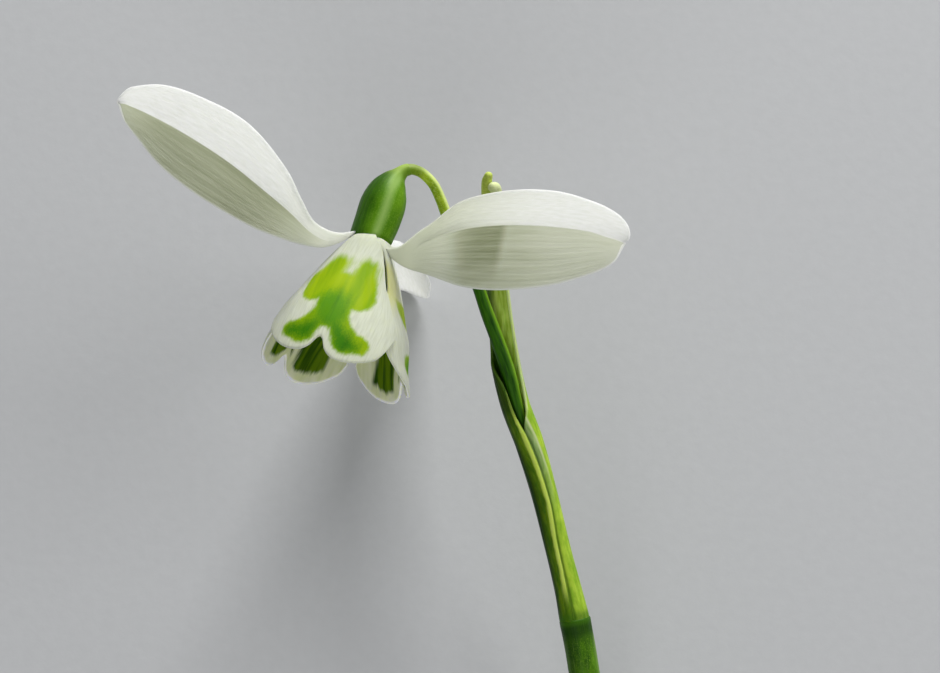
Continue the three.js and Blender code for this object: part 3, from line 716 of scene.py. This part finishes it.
class Look:
    """One material: a node tree with a short call for each kind of node."""

    def __init__(self, name):
        self.material = bpy.data.materials.new(name)
        self.material.use_nodes = True
        self.tree = self.material.node_tree
        self.tree.nodes.clear()

    def node(self, kind, inputs, **settings):
        made = self.tree.nodes.new(kind)
        for key, value in settings.items():
            setattr(made, key, value)
        for key, value in inputs.items():
            if isinstance(value, bpy.types.NodeSocket):
                self.tree.links.new(value, made.inputs[key])
            else:
                made.inputs[key].default_value = value
        return made

    def number(self, name):
        """A piece's number of that name, as mesh_object() stored it."""
        return self.node("ShaderNodeAttribute", {}, attribute_name=name).outputs["Fac"]

    def noise(self, vector, scale, detail, roughness=0.5):
        return self.node("ShaderNodeTexNoise", {
            "Vector": vector, "Scale": scale, "Detail": detail, "Roughness": roughness,
        }).outputs["Fac"]

    def grain(self, across, lengthwise, shift=0.0, detail=3.0, roughness=0.5):
        """Noise on the straightened piece, with so many waves to the centimetre each way."""
        place = self.node("ShaderNodeAttribute", {}, attribute_name=STRAIGHT).outputs["Vector"]
        place = self.node("ShaderNodeMapping", {
            "Vector": place, "Location": (shift, shift, 0), "Scale": (across, lengthwise, across),
        }).outputs["Vector"]
        return self.noise(place, 1.0, detail, roughness)

    def math(self, operation, a, b=0.0):
        return self.node("ShaderNodeMath", {0: a, 1: b}, operation=operation).outputs[0]

    def plus(self, a, b):
        return self.math("ADD", a, b)

    def minus(self, a, b):
        return self.math("SUBTRACT", a, b)

    def times(self, a, b):
        return self.math("MULTIPLY", a, b)

    def apart(self, a, b):
        return self.math("ABSOLUTE", self.minus(a, b))

    def step(self, value, low, high, to_low=0.0, to_high=1.0):
        """A smooth step from to_low to to_high as value goes from low to high."""
        return self.node("ShaderNodeMapRange", {
            "Value": value, "From Min": low, "From Max": high, "To Min": to_low, "To Max": to_high,
        }, interpolation_type="SMOOTHSTEP").outputs["Result"]

    def mix(self, amount, low, high):
        """A mix of two colours. A tuple is a colour's 0 to 255 display values."""
        low, high = (srgb(*color) if isinstance(color, tuple) else color for color in (low, high))
        return self.node("ShaderNodeMix", {0: amount, 6: low, 7: high},
                         data_type="RGBA").outputs[2]

    def blend(self, value, low, high, at_low, at_high, most=1.0):
        """A smooth step from one colour to most of another as value goes from low to high."""
        return self.mix(self.step(value, low, high, 0.0, most), at_low, at_high)

    def finish(self, color, grain, rough, height, lift, depth=0.0, tint=(1.0, 1.0, 1.0),
               specular=0.5):
        """Ends the tree in a surface as rough as its grain says, between the two values of rough.

        height lifts the surface by up to lift, and light sinks into it by depth, in millimetres.
        """
        bump = self.node("ShaderNodeBump", {"Height": height, "Distance": lift * MM})
        skin = self.node("ShaderNodeBsdfPrincipled", {
            "Base Color": color, "Roughness": self.step(grain, 0.2, 0.8, *rough),
            "Normal": bump.outputs["Normal"], "Specular IOR Level": specular,
            "Subsurface Weight": 1.0 if depth else 0.0, "Subsurface Radius": tint,
            "Subsurface Scale": depth * MM,
        })
        self.node("ShaderNodeOutputMaterial", {"Surface": skin.outputs[0]})
        return self.material


def make_outer_look():
    """White with faint veins, and a far half that is grey where it turns away from the light."""
    look = Look("petal_white")
    fine = look.grain(30, 8, detail=4)
    broad = look.grain(9, 1.1, 3.1, detail=4, roughness=0.6)
    clouds = look.grain(2.2, 1.0, 7.7, detail=2)
    cells = look.grain(110, 110, detail=2)
    white = look.blend(fine, 0.3, 0.75, (231, 232, 225), (222, 224, 213))
    far_half = look.times(look.step(look.number("v"), -0.006, 0.022), look.number("fold"))
    grey = look.blend(broad, 0.42, 0.66, (184, 187, 168), (171, 175, 154))
    grey = look.blend(clouds, 0.35, 0.7, grey, (180, 184, 164))
    # the far half's painted shade fades out at the margins, leaving a painted light rim there
    rim = look.step(look.number("inset"), 0.06, 0.3, 0.3, 1.0)
    white = look.mix(look.times(far_half, look.times(rim, FAR_SHADE)), white, grey)
    # painted shade: the petal is greyed by its claw
    claw = look.times(look.number("claw"), look.step(far_half, 0.0, 1.0, 1.0, 0.4))
    white = look.mix(claw, white, (170, 174, 153))
    shade = look.times(look.number("shade"), look.times(far_half, rim))
    shade = look.times(shade, look.step(broad, 0.3, 0.7, 0.84, 0.98))
    white = look.mix(shade, white, (98, 105, 66))
    height = look.plus(look.times(fine, 0.5), look.times(cells, 0.5))
    return look.finish(white, cells, (0.42, 0.56), height, 0.035,
                       depth=2.0, tint=(1.0, 1.0, 0.92), specular=0.25)


def make_inner_look():
    """White with the green mark outside, and cream with a dark patch on each half inside."""
    look = Look("petal_marked")
    across, down = look.number("v"), look.number("down")
    fine = look.grain(50, 6)
    broad = look.grain(12, 1.6, 5.5)
    ragged = look.grain(24, 12, detail=4, roughness=0.65)
    cells = look.grain(120, 120, detail=2)
    white = look.blend(fine, 0.35, 0.7, (216, 220, 201), (204, 208, 186))
    # painted shade: greyer toward the base, where the petals meet the ovary
    white = look.blend(down, 4.0, 0.5, white, (188, 193, 168), 0.4)
    edge = look.times(look.minus(ragged, 0.5), 0.7)
    mark = look.plus(look.number("mark"), edge)
    core = look.plus(look.number("core"), edge)
    top = look.step(down, 6.2, 3.8)
    streaks = look.grain(15, 2.4, 8.8)
    faded = look.times(look.minus(streaks, 0.46), look.times(top, 1.3))
    mark = look.plus(mark, faded)
    marked = look.mix(top, look.step(mark, 0.24, -0.26), look.step(mark, 0.55, -0.6))
    grain = look.grain(70, 50, 3.3, detail=2)
    core = look.plus(core, look.times(look.minus(grain, 0.5), 1.2))
    deep = look.step(core, 1.0, -0.8)
    lime = look.blend(broad, 0.35, 0.65, (158, 186, 0), (134, 172, 0))
    pale = look.times(look.step(look.math("ABSOLUTE", across), 0.35, 0.05),
                      look.step(down, 7.6, 5.6))
    lime = look.mix(look.times(pale, 0.5), lime, (180, 202, 30))
    green = look.blend(down, 9.8, 12.2, (92, 150, 0), (64, 130, 0))
    green = look.blend(broad, 0.5, 0.75, green, (38, 100, 0), 0.45)
    paint = look.mix(deep, lime, green)
    lit_edge = look.step(look.number("mark"), -0.4, -0.05)
    paint = look.mix(look.times(lit_edge, 0.5), paint, (150, 180, 20))
    outside = look.mix(marked, white, paint)
    outside = look.mix(look.times(look.number("cream"), 0.8), outside, (206, 206, 134))
    stripes = look.grain(13, 0.9, 1.7)
    loose = look.minus(look.grain(16, 2.0, 4.4), 0.5)
    reach = look.plus(look.number("inner"), look.times(loose, 0.3))
    low = look.plus(look.number("inset"), look.times(loose, 1.7))
    patch = look.times(look.step(reach, 0.72, 0.58), look.step(reach, 0.02, 0.12))
    patch = look.times(patch, look.step(low, 0.8, 1.4))
    ink = look.blend(stripes, 0.4, 0.58, (104, 136, 8), (44, 82, 0))
    cream = look.blend(broad, 0.3, 0.7, (243, 245, 216), (226, 232, 186))
    cream = look.blend(look.number("inset"), 0.3, 0.12, cream, (252, 254, 246))
    inside = look.mix(patch, cream, ink)
    color = look.mix(look.number("face"), inside, outside)
    height = look.plus(look.times(fine, 0.6), look.times(cells, 0.4))
    return look.finish(color, cells, (0.46, 0.6), height, 0.03,
                       depth=0.1, tint=(1.0, 1.0, 0.6), specular=0.08)


def make_stem_like(name, dark, light, pale, lengthwise_scale):
    """The start of a blotched, dotted look: the look, its colour so far, its grain, its bumps."""
    look = Look(name)
    blotches = look.grain(8, lengthwise_scale, detail=4, roughness=0.6)
    fine = look.grain(60, 5)
    dots = look.grain(70, 40, 2.0, detail=1)
    skin = look.blend(blotches, 0.3, 0.7, dark, light)
    skin = look.mix(look.times(look.step(dots, 0.6, 0.75), 0.5), skin, pale)
    grain = look.grain(90, 90, 5.0, detail=2)
    skin = look.blend(grain, 0.46, 0.72, skin, pale, 0.4)
    height = look.plus(look.times(fine, 0.7), look.times(dots, 0.3))
    return look, skin, fine, height


def make_stem_look():
    """Mid-green with painted shade on its left, darker under the sheath, with a pale cut end."""
    look, skin, fine, height = make_stem_like(
        "stem_green", (38, 82, 0), (100, 154, 8), (122, 164, 40), 2.6)
    side = look.number("side")
    # painted shade down its left side
    skin = look.blend(side, 0.0, -0.9, skin, (22, 54, 0), 0.6)
    # painted highlight down its right side
    skin = look.blend(side, 0.75, 1.0, skin, (132, 164, 84), 0.7)
    skin = look.blend(fine, 0.52, 0.78, skin, (130, 160, 80), 0.25)
    knot = look.step(look.number("share"), 0.955, 0.98)
    skin = look.mix(look.times(knot, 0.85), skin, (20, 58, 0))
    skin = look.blend(look.number("share"), 0.988, 0.998, skin, (62, 110, 4), 0.7)
    cut = look.step(look.number("core"), 0.97, 0.9)
    cut = look.times(cut, look.step(look.number("share"), 0.5, 0.4))
    skin = look.mix(cut, skin, (196, 208, 150))
    return look.finish(skin, fine, (0.4, 0.54), height, 0.06, specular=0.12)


def make_stalk_look():
    """Lime with dark specks, a painted highlight on its outer side, and painted shade from the bend
    down.
    """
    look, skin, fine, height = make_stem_like(
        "stalk_green", (126, 166, 6), (186, 214, 44), (214, 230, 130), 6.0)
    share, outer_side = look.number("share"), look.times(look.number("side"), -1.0)
    # painted highlight along the outer side
    skin = look.blend(outer_side, -0.1, 0.6, skin, (220, 234, 146), 0.85)
    skin = look.blend(share, 0.05, 0.02, skin, (92, 120, 20), 0.7)
    specks = look.step(look.grain(45, 30, 6.1, detail=1), 0.7, 0.75)
    skin = look.mix(look.times(specks, 0.7), skin, (40, 64, 0))
    # painted shade from the bend down
    lower = look.step(share, 0.2, 0.3)
    dark = look.blend(fine, 0.3, 0.7, (20, 60, 0), (50, 100, 0))
    skin = look.mix(lower, skin, dark)
    # painted highlight along its right side below the bend
    right = look.times(lower, look.step(outer_side, 0.0, 0.9))
    skin = look.mix(look.times(right, 0.85), skin, (128, 176, 36))
    return look.finish(skin, fine, (0.4, 0.54), height, 0.05, specular=0.12)


def make_ovary_look():
    """Dark green in painted shade on its left, with a pale stripe that widens toward a pale top."""
    look, skin, fine, height = make_stem_like(
        "ovary_green", (72, 122, 0), (98, 146, 10), (128, 168, 50), 3.0)
    share = look.number("share")
    side = look.number("side")
    # painted shade on its left
    left = look.step(side, 0.15, -0.6)
    dark = look.blend(fine, 0.3, 0.7, (24, 66, 0), (48, 96, 2))
    skin = look.mix(look.times(left, 0.85), skin, dark)
    # the pale stripe: partly the ovary's own colour, partly a painted highlight
    off = look.minus(look.apart(side, STRIPE_AND_HIGHLIGHT_SIDE), look.step(share, 0.5, 0.95, 0.0, 0.35))
    stripe = look.step(off, 0.34, -0.06)
    skin = look.mix(look.times(stripe, 0.72), skin, (152, 184, 100))
    neck = look.blend(side, 0.6, -0.6, (104, 140, 30), (160, 188, 84))
    skin = look.blend(share, 0.72, 0.96, skin, neck)
    return look.finish(skin, fine, (0.4, 0.52), height, 0.05, specular=0.12)


def make_sheath_look():
    """Olive on its left and lime on its right, with a pale papery film between them."""
    look = Look("sheath_green")
    share, azimuth = look.number("share"), look.number("azimuth")
    fine = look.grain(30, 5)
    blotches = look.grain(14, 4, 4.2, detail=4, roughness=0.6)
    lime = look.blend(blotches, 0.35, 0.65, (180, 208, 66), (138, 178, 40))
    lime = look.blend(azimuth, 402, 384, lime, (112, 156, 20), 0.4)
    film = look.blend(fine, 0.3, 0.7, (166, 190, 124), (120, 152, 74))
    olive = look.blend(blotches, 0.35, 0.65, (112, 146, 10), (72, 114, 0))
    # painted shade where its left side turns away
    olive = look.blend(azimuth, 122, 172, olive, (20, 52, 0))
    olive = look.blend(share, 0.44, 0.54, olive, (26, 54, 0), 0.8)
    middle = look.times(look.step(azimuth, 420, 434), look.step(share, 0.24, 0.42))
    right = look.mix(middle, lime, film)
    streak = look.times(look.step(look.apart(azimuth, 426), 8, 1), look.step(share, 0.3, 0.42))
    right = look.mix(look.times(streak, 0.8), right, (206, 214, 168))
    # painted shade in the groove by the seam
    painted_groove_shade = look.step(azimuth, 440, 449)
    right = look.mix(look.times(painted_groove_shade, 0.5), right, (60, 96, 20))
    # painted highlight along the fold left of the seam
    wander = look.times(look.minus(blotches, 0.5), 9)
    ridge = look.apart(look.plus(azimuth, wander), 108)
    ridge = look.times(look.step(ridge, 8, 2, 0.0, 0.85), look.step(share, 0.05, 0.12))
    left = look.mix(ridge, olive, (206, 222, 104))
    outside = look.blend(azimuth, 200, 300, left, right)
    outside = look.blend(share, 0.055, 0.03, outside, (60, 110, 0), 0.7)
    membrane = look.blend(fine, 0.3, 0.7, (210, 228, 118), (162, 190, 60))
    membrane = look.blend(share, 0.72, 0.86, membrane, (110, 138, 40), 0.6)
    # painted shade on the inside of its left part
    membrane = look.blend(azimuth, 290, 230, membrane, (34, 70, 0))
    skin = look.mix(look.number("face"), membrane, outside)
    open_part = look.step(share, 0.47, 0.52)
    margin = look.times(look.step(look.number("inset"), 0.22, 0.06), open_part)
    rim_color = look.blend(azimuth, 200, 300, (78, 106, 32), (206, 216, 160))
    skin = look.mix(look.times(margin, 0.8), skin, rim_color)
    return look.finish(skin, fine, (0.4, 0.54), fine, 0.06,
                       depth=0.3, tint=(0.9, 1.0, 0.5), specular=0.12)


def make_plain(name, low, high):
    """A matt look whose fine grain goes from low to high."""
    look = Look(name)
    grain = look.grain(60, 60)
    color = look.blend(grain, 0.3, 0.7, low, high)
    return look.finish(color, grain, (0.5, 0.7), grain, 0.04)


# -------- surroundings


def camera():
    lens = bpy.data.cameras.new("camera")
    lens.lens = LENS
    lens.sensor_width = SENSOR
    made = add_object("camera", lens)
    made.location = to_world(CAMERA_PLACE)
    made.rotation_euler = (LAID_BACK, 0, 0)
    bpy.context.scene.camera = made


def floor():
    corners = [(x * FLOOR_HALF, y * FLOOR_HALF, 0) for x, y in ((-1, -1), (1, -1), (1, 1), (-1, 1))]
    mesh = bpy.data.meshes.new("floor")
    mesh.from_pydata(corners, [], [(0, 1, 2, 3)])
    made = add_object("floor", mesh)
    look = Look("floor_grey")
    place = look.node("ShaderNodeTexCoord", {}).outputs["Object"]
    grain = look.noise(place, 900, 3)
    color = look.mix(grain, (186, 187, 188), (192, 193, 194))
    mesh.materials.append(
        look.finish(color, grain, (0.85, 0.85), grain, 0.02, specular=0.2))


def lamp(name, direction, distance, size, power):
    """A square soft light that looks at the flower from a direction of the growing frame."""
    toward = unit(to_world(np.array(direction, float)) - to_world([0.0, 0.0, 0.0]))
    light = bpy.data.lights.new(name, "AREA")
    light.size = size
    light.energy = power
    made = add_object(name, light)
    made.location = to_world(LAMP_TARGET) + toward * distance
    made.rotation_euler = Vector(toward).to_track_quat("Z", "Y").to_euler()


def surroundings():
    camera()
    floor()
    for values in LAMPS:
        lamp(*values)
    world = bpy.data.worlds.new("studio")
    world.use_nodes = True
    back = world.node_tree.nodes["Background"]
    back.inputs["Color"].default_value = SKY_COLOR
    back.inputs["Strength"].default_value = SKY_STRENGTH
    bpy.context.scene.world = world
    bpy.context.scene.view_settings.view_transform = "Standard"


# -------- assembly

surroundings()

outer_look = make_outer_look()
inner_look = make_inner_look()
stem_look = make_stem_look()
stalk_look = make_stalk_look()
ovary_look = make_ovary_look()
sheath_look = make_sheath_look()
tip_looks = [make_plain("tip_green", (182, 202, 70), (206, 222, 100)),
             make_plain("tip_cream", (212, 224, 150), (230, 238, 182))]
anther_look = make_plain("anther_yellow", (214, 150, 30), (240, 184, 60))
style_look = make_plain("style_pale", (214, 216, 176), (228, 230, 200))

for petal in OUTER_PETALS:
    outer_petal(**petal)
for petal in INNER_PETALS:
    inner_petal(**petal)
sheath()
ovary()
pedicel()
scape()
for k in range(STAMENS):
    slender(f"anther_{k + 1}", f"stamen_{k + 1}", STAMEN, 2 * math.pi * k / STAMENS,
            anther_look)
slender("pale_style", "style", STYLE, 0.0, style_look)
